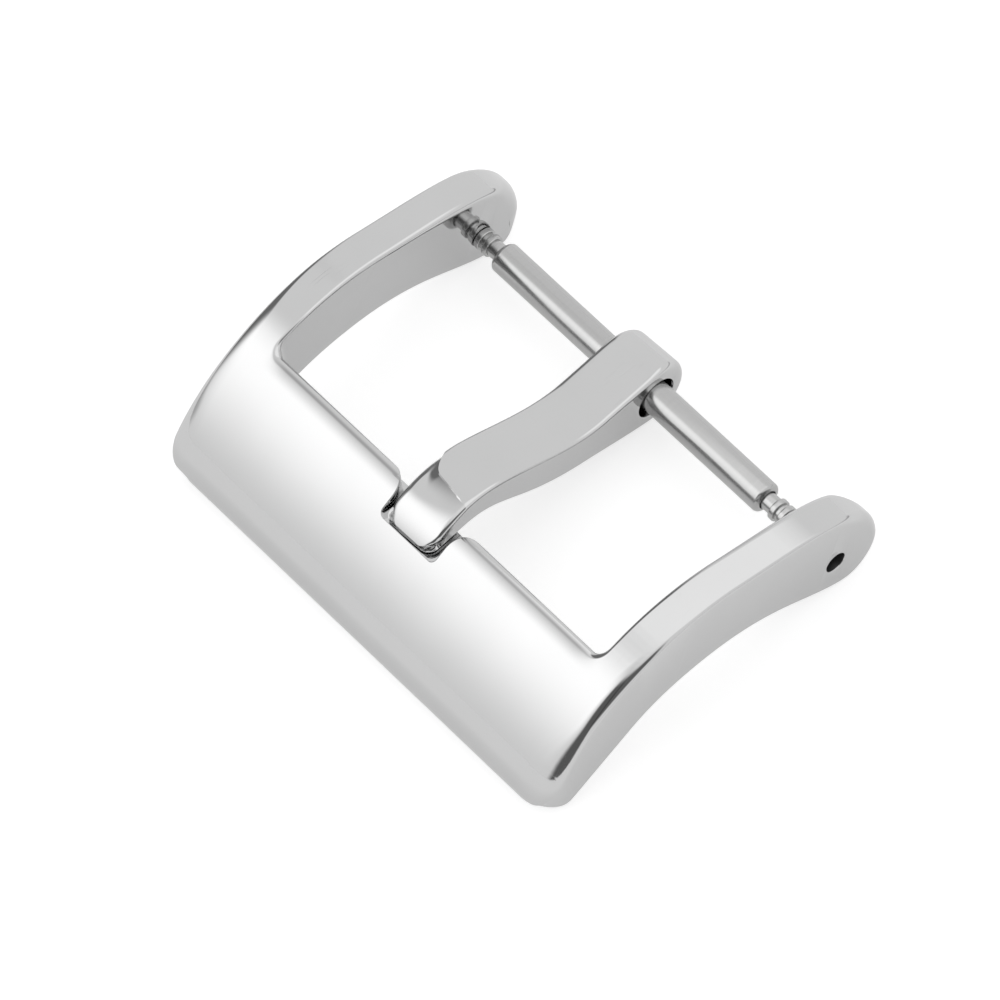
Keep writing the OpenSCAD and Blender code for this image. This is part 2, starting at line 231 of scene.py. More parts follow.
class Wire:
    # one socket of a node tree; sums and products of wires add the nodes that work them out

    def __init__(self, tree, socket=None):
        self.tree = tree
        self.socket = socket

    def feed(self, target, value):
        if isinstance(value, Wire):
            self.tree.links.new(value.socket, target)
        else:
            target.default_value = value

    def node(self, kind, settings=None, inputs=None, out=0):
        made = self.tree.nodes.new(kind)
        for name, value in (settings or {}).items():
            setattr(made, name, value)
        for name, value in (inputs or {}).items():
            self.feed(made.inputs[name], value)
        return Wire(self.tree, made.outputs[out]) if len(made.outputs) else None

    def worked(self, operation, *values):
        made = self.tree.nodes.new("ShaderNodeMath")
        made.operation = operation
        for target, value in zip(made.inputs, values):
            self.feed(target, value)
        return Wire(self.tree, made.outputs[0])

    def __add__(self, other):
        return self.worked("ADD", self, other)

    def __radd__(self, other):
        return self.worked("ADD", other, self)

    def __sub__(self, other):
        return self.worked("SUBTRACT", self, other)

    def __rsub__(self, other):
        return self.worked("SUBTRACT", other, self)

    def __mul__(self, other):
        return self.worked("MULTIPLY", self, other)

    def __rmul__(self, other):
        return self.worked("MULTIPLY", other, self)

    def __truediv__(self, other):
        return self.worked("DIVIDE", self, other)

    def __rtruediv__(self, other):
        return self.worked("DIVIDE", other, self)

    def eased(self, low, high):
        # smooth step from 0 at low to 1 at high
        return self.node("ShaderNodeMapRange", {"interpolation_type": "SMOOTHSTEP"},
                         {"Value": self, "From Min": low, "From Max": high})


def newMaterial(name):
    material = bpy.data.materials.new(name)
    material.use_nodes = True
    material.node_tree.nodes.clear()
    return material, Wire(material.node_tree)


# finishes

polish = {
    "tone": (0.567, 0.567, 0.568),   # how much light the bright plating sends back
    "patina": 0.03,                # how much the tone wanders
    "roughness": 0.07, "roughnessWander": 0.035, "scratchRoughness": 0.05,
    "cloudScale": 260, "hazeScale": 1500, "scratchScale": (9000, 500, 2500),   # repeats in a metre
    "scratchTurn": (0.2, 0.1, 0.35),          # direction of the buffing, in radians
    "scratchShare": (0.66, 0.72),             # noise levels over which a hairline sets in
    "hairline": 0.0000005,         # depth of the hairline scratches, in metres
    "ripple": 0.000004,            # depth of the buffing waves
    "shade": 0.4,                  # painted shade: how much darker the plating's colour is painted along the window's front edge
    "shadeAhead": (11.18, 11.34, 11.95), "shadeAside": (8.8, 10.2),   # where, from the bar and from the middle
}


def polishedSteel(name, shaded):
    material, w = newMaterial(name)
    place = w.node("ShaderNodeTexCoord", out="Object")
    cloud = w.node("ShaderNodeTexNoise", inputs={"Vector": place, "Scale": polish["cloudScale"],
                                                  "Detail": 3})
    haze = w.node("ShaderNodeTexNoise", inputs={"Vector": place, "Scale": polish["hazeScale"],
                                                 "Detail": 5})
    # hairlines run roughly along the buffing direction
    stretched = w.node("ShaderNodeMapping", inputs={"Vector": place, "Rotation": polish["scratchTurn"],
                                                    "Scale": polish["scratchScale"]})
    lines = w.node("ShaderNodeTexNoise", inputs={"Vector": stretched, "Scale": 1, "Detail": 2})
    scratch = lines.eased(*polish["scratchShare"])
    darkTone = tuple(c * (1 - polish["patina"]) for c in polish["tone"]) + (1,)
    brightTone = tuple(min(1, c * (1 + polish["patina"])) for c in polish["tone"]) + (1,)
    tone = w.node("ShaderNodeMix", {"data_type": "RGBA"},
                  {"Factor": cloud, 6: darkTone, 7: brightTone}, out=2)
    if shaded:
        # painted shade: the plating's colour is darkened along the window's front edge, fading out towards the
        # sides
        across, along = (w.node("ShaderNodeSeparateXYZ", inputs={0: place}, out=axis) / mm for axis in "XY")
        ahead, aside = barY - along, w.worked("ABSOLUTE", across)
        low, high, end = polish["shadeAhead"]
        edgeShade = ahead.eased(low, high) * (1 - ahead.eased(high, end)) * polish["shade"]
        edgeShade = edgeShade * (1 - aside.eased(*polish["shadeAside"]))
        tone = w.node("ShaderNodeMix", {"data_type": "RGBA"},
                      {"Factor": edgeShade, 6: tone, 7: (0.0, 0.0, 0.0, 1)}, out=2)
    rough = polish["roughness"] + (haze - 0.5) * polish["roughnessWander"]
    rough = rough + scratch * polish["scratchRoughness"]
    height = cloud * polish["ripple"] + scratch * (-polish["hairline"])
    relief = w.node("ShaderNodeBump", inputs={"Strength": 1.0, "Distance": 1.0, "Height": height})
    shader = w.node("ShaderNodeBsdfPrincipled", inputs={"Metallic": 1.0, "Base Color": tone,
                                                        "Roughness": rough, "Normal": relief})
    w.node("ShaderNodeOutputMaterial", inputs={"Surface": shader})
    return material


satin = {
    "tone": (0.47, 0.47, 0.468),
    "patina": 0.05,
    "roughness": 0.21,
    "roughnessWander": 0.08,
    "turnMark": 0.0000012,         # depth of the turning marks round the bar
    "turnScale": (26000, 120, 120), "cloudScale": 1800,
}


def turnedSteel():
    material, w = newMaterial("turnedSteel")
    place = w.node("ShaderNodeTexCoord", out="Object")
    rings = w.node("ShaderNodeMapping", inputs={"Vector": place, "Scale": satin["turnScale"]})
    marks = w.node("ShaderNodeTexNoise", inputs={"Vector": rings, "Scale": 1, "Detail": 4})
    cloud = w.node("ShaderNodeTexNoise", inputs={"Vector": place, "Scale": satin["cloudScale"],
                                                  "Detail": 4})
    darkTone = tuple(c * (1 - satin["patina"]) for c in satin["tone"]) + (1,)
    brightTone = tuple(min(1, c * (1 + satin["patina"])) for c in satin["tone"]) + (1,)
    tone = w.node("ShaderNodeMix", {"data_type": "RGBA"},
                  {"Factor": marks, 6: darkTone, 7: brightTone}, out=2)
    rough = satin["roughness"] + (cloud - 0.5) * satin["roughnessWander"]
    relief = w.node("ShaderNodeBump", inputs={"Strength": 1.0, "Distance": 1.0,
                                              "Height": marks * satin["turnMark"]})
    shader = w.node("ShaderNodeBsdfPrincipled", inputs={"Metallic": 1.0, "Base Color": tone,
                                                        "Roughness": rough, "Normal": relief})
    w.node("ShaderNodeOutputMaterial", inputs={"Surface": shader})
    return material


wireFinish = {
    "tone": (0.42, 0.42, 0.41), "patina": 0.12, "roughness": 0.32, "roughnessWander": 0.1,
    "drawMark": 0.000001, "drawScale": 5200,
}


def springWire():
    material, w = newMaterial("springWire")
    place = w.node("ShaderNodeTexCoord", out="Object")
    cloud = w.node("ShaderNodeTexNoise", inputs={"Vector": place, "Scale": wireFinish["drawScale"],
                                                  "Detail": 4})
    darkTone = tuple(c * (1 - wireFinish["patina"]) for c in wireFinish["tone"]) + (1,)
    brightTone = tuple(c * (1 + wireFinish["patina"]) for c in wireFinish["tone"]) + (1,)
    tone = w.node("ShaderNodeMix", {"data_type": "RGBA"},
                  {"Factor": cloud, 6: darkTone, 7: brightTone}, out=2)
    relief = w.node("ShaderNodeBump", inputs={"Strength": 1.0, "Distance": 1.0,
                                              "Height": cloud * wireFinish["drawMark"]})
    shader = w.node("ShaderNodeBsdfPrincipled", inputs={
        "Metallic": 1.0, "Base Color": tone, "Normal": relief,
        "Roughness": wireFinish["roughness"] + (cloud - 0.5) * wireFinish["roughnessWander"]})
    w.node("ShaderNodeOutputMaterial", inputs={"Surface": shader})
    return material


# painted shade: the near-black tone stands for the shade inside the ear holes
boredAndShaded = {
    "tone": (0.09, 0.09, 0.092), "roughness": 0.45, "roughnessWander": 0.2,
    "toolMark": 0.0000015, "toolScale": (30000, 900, 900),
}


def boredSteelPaintedShade():
    # drilled or cut-off metal inside the ear holes, painted near-black as their shade, with tool marks
    material, w = newMaterial("boredSteelPaintedShade")
    place = w.node("ShaderNodeTexCoord", out="Object")
    rings = w.node("ShaderNodeMapping", inputs={"Vector": place, "Scale": boredAndShaded["toolScale"]})
    marks = w.node("ShaderNodeTexNoise", inputs={"Vector": rings, "Scale": 1, "Detail": 3})
    relief = w.node("ShaderNodeBump", inputs={"Strength": 1.0, "Distance": 1.0,
                                              "Height": marks * boredAndShaded["toolMark"]})
    shader = w.node("ShaderNodeBsdfPrincipled", inputs={
        "Metallic": 1.0, "Base Color": boredAndShaded["tone"] + (1,), "Normal": relief,
        "Roughness": boredAndShaded["roughness"] + (marks - 0.5) * boredAndShaded["roughnessWander"]})
    w.node("ShaderNodeOutputMaterial", inputs={"Surface": shader})
    return material


plated = polishedSteel("polishedFrame", True)
platedTongue = polishedSteel("polishedTongue", False)
brushed = turnedSteel()
drawn = springWire()
drilledShade = boredSteelPaintedShade()
print("finishes made")


# frame

buckle = {
    "innerX": 10.0, "armWidth": 1.7,
    "reach": 10.98, "plateLength": 5.12, "crestHeight": 6.48, "crestBack": 3.58, "lipHeight": 1.3,
    "archHeight": 2.82, "archBack": 3.28, "footDrop": 0.28, "flatBeyond": 0.3, "lipSlope": 0.49,
    "earLength": 2.48, "earTopRadius": 3.04, "earUnderRadius": 1.65,
    "earTop": 42.5, "earUnder": -105.0, "earSplit": -35.0, "earCap": 1.5, "crownEnd": 14.0,
    "armTopBend": (0.273, 0.444), "armUnderBend": (0.27, 0.49), "dropBlend": 2.0,
    "edge": 0.15, "innerEdge": 0.3, "earInner": 0.95, "earInnerLength": 1.35,
    "earOuter": 0.5, "earEdgeLength": 2.4,
    "windowRadius": 0.5, "cornerUnderRadius": 1.5,
    # soft shoulder down the plate's sides: reach and drop half way and at the front corner
    "right": {"reach": (0.75, 1.55), "drop": (0.36, 0.85), "corner": 1.15},
    "left": {"reach": (0.75, 0.95), "drop": (0.34, 0.36), "corner": 0.7},
    "shoulderCorner": 0.5, "shoulderFrom": 7.0, "shoulderTo": 13.2, "shoulderEnd": 15.6,
    "windowEdge": 0.45, "lipTop": 0.35, "lipUnder": 1.1, "lipBlend": 0.7,
    "sideShare": 0.3, "arcShare": 0.5,
    "seatLength": 1.82, "seatStep": 0.31, "seatRadius": 0.25, "seatMouth": 1.1, "seatHalf": 1.635,
    "seatRim": 0.05, "seatOpen": 0.6, "seatOverlap": 0.02, "seatSteps": 16, "seatWallSteps": 6,
    "seatCornerSteps": 12, "seatRimAngles": (0, 16, 32, 48, 64, 80),
    "holeRadius": 0.5, "holeRim": 0.035, "boreGrace": 0.01,
    "roundSteps": 8, "acrossSteps": 36, "earSteps": 36, "earNoseSteps": 12, "bendSteps": 36, "crownSteps": 28,
    "cornerSteps": 60, "middleSteps": 24,
}
outerX = buckle["innerX"] + buckle["armWidth"]
lipY = buckle["reach"] + buckle["plateLength"]
crestY = buckle["reach"] - buckle["crestBack"]
archY = buckle["reach"] - buckle["archBack"]
crownRun, crownDrop = lipY - crestY, buckle["crestHeight"] - buckle["lipHeight"]
crownRadius = (crownRun ** 2 + crownDrop ** 2) / (2 * crownDrop)
flatY = buckle["reach"] + buckle["flatBeyond"]
flatH = (lipY - flatY) * buckle["lipSlope"] - buckle["footDrop"]
earTopCentre = (buckle["earLength"] - buckle["earTopRadius"], buckle["earUnderRadius"])
earUnderCentre = (buckle["earLength"] - buckle["earUnderRadius"], buckle["earUnderRadius"])


def crownZ(d):
    # height of the plate's top at a distance d in front of the bar
    return buckle["crestHeight"] - crownRadius + math.sqrt(crownRadius ** 2 - (d - crestY) ** 2)


def underZ(d):
    # its underside: straight from the lip to the window, then up into the arch
    if d > flatY:
        return (lipY - d) * buckle["lipSlope"] - buckle["footDrop"]
    span = flatY - archY
    t = max(0.0, min(1.0, (flatY - d) / span))
    return (flatH + (t ** 3 - 2 * t ** 2 + t) * span * buckle["lipSlope"]
            + (3 * t ** 2 - 2 * t ** 3) * (buckle["archHeight"] - flatH))


def armTopLine():
    noseSteps = buckle["earNoseSteps"]
    crownCentre = (-crestY, buckle["crestHeight"] - crownRadius)
    earEnd = polar(earTopCentre, buckle["earTopRadius"], buckle["earTop"])
    crownStart = polar(crownCentre, crownRadius, 90 - buckle["crownEnd"])
    crownReach = buckle["reach"] - buckle["windowRadius"] - crestY
    cornerAngle = 90 + math.degrees(math.asin(crownReach / crownRadius))
    t, c = math.radians(buckle["earTop"]), math.radians(buckle["crownEnd"])
    line = [polar(earUnderCentre, buckle["earUnderRadius"],
                  mixed(buckle["earSplit"] + buckle["earCap"], 0, i / noseSteps)) for i in range(noseSteps)]
    line += [polar(earTopCentre, buckle["earTopRadius"],
                   buckle["earTop"] * (i - noseSteps) / (buckle["earSteps"] - noseSteps))
             for i in range(noseSteps, buckle["earSteps"] + 1)]
    line += bent(earEnd, (-math.sin(t), math.cos(t)), crownStart, (-math.cos(c), math.sin(c)),
                 buckle["armTopBend"], buckle["bendSteps"])
    line += [polar(crownCentre, crownRadius,
                   mixed(90 - buckle["crownEnd"], cornerAngle, i / buckle["crownSteps"]))
             for i in range(1, buckle["crownSteps"] + 1)]
    return line


def armUnderLine():
    t = math.radians(buckle["earUnder"])
    line = [polar(earUnderCentre, buckle["earUnderRadius"],
                  mixed(buckle["earSplit"] - buckle["earCap"], buckle["earUnder"], i / buckle["earSteps"]))
            for i in range(buckle["earSteps"] + 1)]
    line += bent(line[-1], (math.sin(t), -math.cos(t)), (-archY, buckle["archHeight"]), (-1, 0),
                 buckle["armUnderBend"], buckle["bendSteps"])
    for i in range(1, buckle["crownSteps"] + 1):
        d = mixed(archY, buckle["reach"] - buckle["windowRadius"], i / buckle["crownSteps"])
        line.append(np.array([-d, underZ(d)]))
    return line


def armEdges(y):
    # radii of the inner and outer edges, which grow towards the ear's round end
    innerShare = eased(1 + (y - buckle["earLength"]) / buckle["earInnerLength"])
    outerShare = eased(1 + (y - buckle["earLength"]) / buckle["earEdgeLength"])
    inner = mixed(buckle["edge"], buckle["innerEdge"], eased(1 + y / buckle["reach"]))
    return mixed(inner, buckle["earInner"], innerShare), mixed(buckle["edge"], buckle["earOuter"], outerShare)


def shoulderAt(y, side):
    # reach and drop of the top's outer edge, which softens down the plate's sides
    grown = ramp(-y, buckle["shoulderFrom"], buckle["shoulderTo"])
    last = ramp(-y, buckle["shoulderTo"], buckle["shoulderEnd"])
    return tuple(mixed(mixed(buckle["edge"], buckle[side][key][0], grown), buckle[side][key][1], last)
                 for key in ("reach", "drop"))


def armRing(p, up, q, down, marks, side):
    corner = buckle["reach"] - buckle["windowRadius"]
    up = mixed(np.array([0.0, 1.0]), up, eased((p[0] + corner) / buckle["dropBlend"]))
    down = mixed(np.array([0.0, -1.0]), down, eased((q[0] + corner) / buckle["dropBlend"]))

    def across(point, out, mark, top):
        inner, outer = armEdges(point[0])
        drop = outer
        if top and point[0] < -buckle["shoulderFrom"]:
            outer, drop = shoulderAt(point[0], side)
        r = inner if mark[0] < 0.5 else drop
        x = mixed(buckle["innerX"] + inner * mark[1], outerX - outer * mark[1], mark[0])
        return (x, point[0] - out[0] * r * mark[2], point[1] - out[1] * r * mark[2])

    return [across(p, up, m, True) for m in marks] + [across(q, down, m, False) for m in reversed(marks)]


def plateEdge(t, r):
    # outer edge seen from above: a point, the inward direction and the share of the lip's rounding
    arcT = (t - buckle["sideShare"]) / buckle["arcShare"]
    cornerX = outerX - r
    if arcT <= 0:
        side = mixed(buckle["windowRadius"] - buckle["reach"], r - lipY, t / buckle["sideShare"])
        return np.array([outerX, side]), np.array([-1.0, 0.0]), 0.0
    if arcT <= 1:
        a = math.radians(-90 * arcT)
        return (polar((cornerX, r - lipY), r, -90 * arcT),
                -np.array([math.cos(a), math.sin(a)]), arcT / buckle["lipBlend"])
    frontT = (arcT - 1) * buckle["arcShare"] / (1 - buckle["sideShare"] - buckle["arcShare"])
    x = mixed(cornerX, min(cornerX, buckle["innerX"] - buckle["windowRadius"]), frontT)
    return np.array([x, -lipY]), np.array([0.0, 1.0]), 1.0


def shoulderEdge(t, side):
    # where the top's rounding starts, along the side, round the corner and behind the lip
    arcT = (t - buckle["sideShare"]) / buckle["arcShare"]
    front, r = buckle["lipTop"] - lipY, buckle["shoulderCorner"]
    if arcT <= 0:
        y = mixed(buckle["windowRadius"] - buckle["reach"], front + r, t / buckle["sideShare"])
        return np.array([outerX - shoulderAt(y, side)[0], y])
    centre = (outerX - buckle[side]["reach"][1] - r, front + r)
    if arcT <= 1:
        return polar(centre, r, -90 * arcT)
    frontT = (arcT - 1) * buckle["arcShare"] / (1 - buckle["sideShare"] - buckle["arcShare"])
    x = mixed(centre[0], min(centre[0], buckle["innerX"] - buckle["windowRadius"]), frontT)
    return np.array([x, front])


def plateRing(t, marks, side):
    centre = (buckle["innerX"] - buckle["windowRadius"], buckle["windowRadius"] - buckle["reach"])
    topEdge, underEdge = plateEdge(t, buckle[side]["corner"]), plateEdge(t, buckle["cornerUnderRadius"])
    turned = eased((t - buckle["sideShare"]) / (1 - buckle["sideShare"]))
    topDrop = mixed(shoulderAt(topEdge[0][1], side)[1], buckle["lipTop"], turned)
    underR = mixed(buckle["edge"], buckle["lipUnder"], eased(underEdge[2]))
    innerR = mixed(buckle["edge"], buckle["windowEdge"], eased(t))

    def across(edge, mark, inner, rounded):
        start = polar(centre, buckle["windowRadius"] + inner * mark[1], -90 * t)
        return mixed(start, mixed(edge, rounded, mark[1]), mark[0])

    top, under = [], []
    for m in marks:
        p = across(topEdge[0], m, innerR, shoulderEdge(t, side))
        top.append((p[0], p[1], crownZ(-p[1]) - (innerR if m[0] < 0.5 else topDrop) * m[2]))
        p = across(underEdge[0], m, buckle["edge"], underEdge[0] + underEdge[1] * underR)
        under.append((p[0], p[1], underZ(-p[1]) + (buckle["edge"] if m[0] < 0.5 else underR) * m[2]))
    return top + under[::-1]


def plateTop(y):
    # height of the finished top face on the plate, with the window's rounded edge
    e = -y - buckle["reach"]
    r = buckle["windowEdge"]
    if e >= r:
        return crownZ(-y)
    e = max(0.0, e)
    return crownZ(max(-y, buckle["reach"])) - r * (1 - math.sqrt(max(0.0, 1 - (1 - e / r) ** 2)))


def seatCutter():
    # outline of the seat seen from above, each point with its direction away from the cut
    half, r, mouthR = buckle["seatHalf"], buckle["seatRadius"], buckle["seatMouth"]
    front = -(buckle["reach"] + buckle["seatLength"])
    mouth = half + mouthR
    line = [((mouth, buckle["seatOpen"] - buckle["reach"]), (1.0, 0.0))]
    # the mouth's curve starts a hair inside the window, so it cuts the window's face cleanly
    mouthCentre = (mouth, buckle["seatOverlap"] - buckle["reach"] - mouthR)
    steps, wallSteps, cornerSteps = (buckle[k] for k in ("seatSteps", "seatWallSteps", "seatCornerSteps"))
    for k in range(steps + 1):
        angle = 90 + 90 * k / steps
        p, a = polar(mouthCentre, mouthR, angle), math.radians(angle)
        line.append(((p[0], p[1]), (-math.cos(a), -math.sin(a))))
    for k in range(1, wallSteps):
        line.append(((half, mixed(-buckle["reach"] - mouthR, front + r, k / wallSteps)), (1.0, 0.0)))
    for k in range(cornerSteps + 1):
        angle = -90 * k / cornerSteps
        p, a = polar((half - r, front + r), r, angle), math.radians(angle)
        line.append(((p[0], p[1]), (math.cos(a), math.sin(a))))
    line += [((-p[0], p[1]), (-n[0], n[1])) for p, n in reversed(line)]
    seatZ = crownZ(buckle["reach"] + buckle["seatLength"]) - buckle["seatStep"]
    rim = buckle["seatRim"]
    loops = [[(p[0], p[1], seatZ) for p, n in line]]
    for angle in buckle["seatRimAngles"]:
        a = math.radians(angle)
        out, down = rim * (1 - math.cos(a)), rim * (1 - math.sin(a))
        loop = []
        for p, n in line:
            x, y = p[0] + n[0] * out, p[1] + n[1] * out
            loop.append((x, y, plateTop(y) - down))
        loops.append(loop)
    loops.append([(x, y, buckle["crestHeight"] + cutPast) for x, y, z in loops[-1]])
    return prism("seatCutter", loops, fromBar)


def holeCutter(name, radius, rim, faces, place):
    # a drill with a small countersink at each face
    low, high = faces
    # the cone ends just outside the face, so that it cuts it cleanly
    (wideOut, wideIn), (neckOut, neckIn) = [[rim * share for share in pair] for pair in drillCone]
    wide, neck = radius + wideOut, radius + neckOut
    profile = [(wide, low - cutPast), (wide, low + wideIn), (neck, low + neckIn), (radius, low + rim),
               (radius, high - rim), (neck, high - neckIn), (wide, high - wideIn), (wide, high + cutPast)]
    return turnedSolid(name, profile, drillSteps, place)


def buildFrame():
    marks = crossMarks(buckle["roundSteps"], buckle["acrossSteps"])
    top, under = armTopLine(), armUnderLine()
    outTop, outUnder = facing(top, 1), facing(under, -1)

    def halfRings(side):
        rings = [armRing(p, n, q, m, marks, side) for p, n, q, m in zip(top, outTop, under, outUnder)]
        steps = buckle["cornerSteps"]
        return rings + [plateRing(i / steps, marks, side) for i in range(1, steps + 1)]

    half = halfRings("right")
    other = [[(-p[0], p[1], p[2]) for p in ring] for ring in reversed(halfRings("left"))]
    middle = []
    for i in range(1, buckle["middleSteps"]):
        share = i / buckle["middleSteps"]
        middle.append([tuple(mixed(np.array(p), np.array(q), share)) for p, q in zip(half[-1], other[0])])
    body = lofted("buckleFrame", half + middle + other, fromBar)
    # one drill for each ear, so that each face gets its own countersink
    drills = [holeCutter("drill", buckle["holeRadius"], buckle["holeRim"], ends, alongBar)
              for ends in ((-outerX, -buckle["innerX"]), (buckle["innerX"], outerX))]
    cutAway(body, seatCutter(), *drills)
    smoothSides(body)
    dressed(body, "frame", "frame", plated)
    # the ear holes' bores take the painted hole shade
    shadeInHoles(body, drilledShade, buckle["holeRadius"] + buckle["boreGrace"], buckle["innerX"])
    return body


buckleFrame = buildFrame()


# tongue

tongue = {
    "width": 2.74, "thick": 1.3, "hubWall": 0.5, "hubPlay": 0.28, "lean": 2.4,
    "edge": 0.18, "hubEdge": 0.42, "hubEdgeLength": 2.0, "hubBack": 0.24, "hubUp": 0.03,
    "hangGap": 0.04, "hubSplit": -20.0, "hubCap": 1.5, "hubUnder": -100.0,
    "flat": 2.7, "waistAlong": 4.2, "waistHeight": 1.6, "waistSlope": 0.32, "heelGap": 0.04,
    "crest": 2.5, "crestDrop": 0.07, "heel": 2.0, "tipClear": 0.1, "tipX": -0.1, "tipEdge": 0.22,
    "tipCorner": 0.5, "tipSlope": (-0.643, -0.766), "seatGap": 0.1,
    "topBend": (0.32, 0.285), "noseBend": (0.3, 0.35), "neckBend": (0.25, 0.25), "underBend": (0.546, 0.295),
    "barRadius": 0.715, "edgeShare": 0.45, "leastTurn": 0.02, "boreRim": 0.04,
    # ground dome at the tip: its crease across and along one side, then how it drops away from it
    "creaseAlong": 10.23, "creaseBefore": (-1.9, -0.4), "creaseAfter": (0.6, 2.0),
    "creaseLean": 0.175, "creaseSide": 0.6, "creaseCurl": 1.75,
    "noseDrop": 0.12, "noseLength": 0.7, "domeDrop": 0.2, "domePower": 1.4, "domeFade": 0.6, "domeLength": 1.5,
    "domeEdge": 0.26, "domeCorner": 0.8,
    "domeFrom": (9.5, 11.0),
    # the rows of the top line and of the under line add up to the same count
    "roundSteps": 8, "acrossSteps": 40, "hubSteps": 40, "topSteps": (9, 110, 68), "underSteps": (15, 124, 48),
}
boreRadius = tongue["barRadius"] + tongue["hubPlay"]
hubRadius = boreRadius + tongue["hubWall"]
boreCentre = np.array([0.0, barH - tongue["hubPlay"] + tongue["hangGap"]])
hubCentre = boreCentre + np.array([tongue["hubBack"], tongue["hubUp"]])
tipY = buckle["reach"] + buckle["seatLength"] - tongue["tipClear"]
tipUnder = crownZ(buckle["reach"] + buckle["seatLength"]) - buckle["seatStep"] + tongue["seatGap"]
hubX = tongue["tipX"] - tipY * math.tan(math.radians(tongue["lean"]))


def onTongue(p):
    a = math.radians(tongue["lean"])
    x = p[0] * math.cos(a) - p[1] * math.sin(a) + hubX
    y = p[0] * math.sin(a) + p[1] * math.cos(a)
    return fromBar((x, y, p[2]))


def hubArc(fromAngle, toAngle):
    steps = tongue["hubSteps"]
    return [polar(hubCentre, hubRadius, mixed(fromAngle, toAngle, i / steps)) for i in range(steps + 1)]


def tongueTopLine():
    hubTop = hubCentre + np.array([0, hubRadius])
    flatEnd = np.array([-tongue["flat"], hubTop[1]])
    crest = np.array([-(tipY - tongue["crest"]), tipUnder + tongue["thick"] - tongue["crestDrop"]])
    tip = np.array([-tipY, tipUnder + tongue["tipEdge"]])
    flatSteps, bendSteps, noseSteps = tongue["topSteps"]
    line = hubArc(tongue["hubSplit"] + tongue["hubCap"], 90)
    line += [mixed(hubTop, flatEnd, i / flatSteps) for i in range(1, flatSteps + 1)]
    line += bent(flatEnd, (-1, 0), crest, (-1, 0), tongue["topBend"], bendSteps)
    line += bent(crest, (-1, 0), tip, tongue["tipSlope"], tongue["noseBend"], noseSteps)
    return line


def tongueUnderLine():
    waist = np.array([-tongue["waistAlong"], tongue["waistHeight"]])
    waistWay = np.array([-1, tongue["waistSlope"]]) / math.hypot(1, tongue["waistSlope"])
    heel = np.array([-(tipY - tongue["heel"]), tipUnder + tongue["heelGap"]])
    tip = np.array([-tipY, tipUnder])
    u = math.radians(tongue["hubUnder"])
    neckSteps, bendSteps, heelSteps = tongue["underSteps"]
    line = hubArc(tongue["hubSplit"] - tongue["hubCap"], tongue["hubUnder"])
    line += bent(line[-1], (math.sin(u), -math.cos(u)), waist, waistWay, tongue["neckBend"], neckSteps)
    line += bent(waist, waistWay, heel, (-1, 0), tongue["underBend"], bendSteps)
    line += [mixed(heel, tip, i / heelSteps) for i in range(1, heelSteps + 1)]
    return line


def creaseShift(x):
    # the crease's place along the tongue against its place on the middle line
    curl = max(0.0, -tongue["creaseSide"] - x)
    return tongue["creaseCurl"] * curl * curl - tongue["creaseLean"] * x


def domeDrop(x, past):
    # how far the ground tip lies below the bent top, at a distance past its crease
    if past <= 0:
        return 0.0
    half = tongue["width"] / 2
    lean = max(0.0, (half - x) / (2 * half)) ** tongue["domePower"]
    lean *= 1 - tongue["domeFade"] * eased(past / tongue["domeLength"])
    return tongue["noseDrop"] * (1 - math.exp(-past / tongue["noseLength"])) + tongue["domeDrop"] * lean


def tongueRow(p, out, r, corner, marks, heights=None):
    # heights are given for the top only: there, rows bend so that one of them runs along the crease
    e = max(0.0, min(corner, p[0] + tipY))
    inset = corner - math.sqrt(max(0.0, corner ** 2 - (corner - e) ** 2))
    half = tongue["width"] / 2 - inset
    past = -p[0] - tongue["creaseAlong"]
    follow = min(ramp(past, *tongue["creaseBefore"]), 1 - ramp(past, *tongue["creaseAfter"]))
    row = []
    for m in marks:
        x = mixed(-half + r * m[1], half - r * m[1], m[0])
        y, z = p
        if heights is not None and (follow > 0 or past > 0):
            y += follow * creaseShift(x)
            z = np.interp(-y, *heights) - domeDrop(x, past)
        row.append((x, y - out[0] * r * m[2], z - out[1] * r * m[2]))
    return row


def buildTongue():
    marks = crossMarks(tongue["roundSteps"], tongue["acrossSteps"])
    top, under = tongueTopLine(), tongueUnderLine()
    outTop, outUnder = facing(top, 1), facing(under, -1)
    rings = []
    far = [p for p in top if p[0] < -tongue["flat"]]
    heights = ([-p[0] for p in far], [p[1] for p in far])
    for p, n, q, m in zip(top, outTop, under, outUnder):
        w = eased(1 + (p[0] - hubCentre[0] - hubRadius) / tongue["hubEdgeLength"])
        # edges may be as round as the thickness there allows, and more where both faces look the same way
        room = tongue["edgeShare"] * np.linalg.norm(p - q) / max(tongue["leastTurn"], (1 - np.dot(n, m)) / 2)
        r = min(mixed(tongue["edge"], tongue["hubEdge"], w), room)
        soft = mixed(r, min(tongue["domeEdge"], room), ramp(-p[0], *tongue["domeFrom"]))
        rings.append(tongueRow(p, n, soft, tongue["domeCorner"], marks, heights)
                     + tongueRow(q, m, r, tongue["tipCorner"], marks)[::-1])
    pin = lofted("buckleTongue", rings, onTongue)
    half = tongue["width"] / 2

    def boreAt(p):
        return onTongue((p[0], p[1] + boreCentre[0], p[2] + boreCentre[1]))

    cutAway(pin, holeCutter("reamer", boreRadius, tongue["boreRim"], (-half, half), boreAt))
    smoothSides(pin)
    dressed(pin, "tongue", "tongue", platedTongue)
    return pin


buckleTongue = buildTongue()


# sprung bar: tube, two plungers and the spring

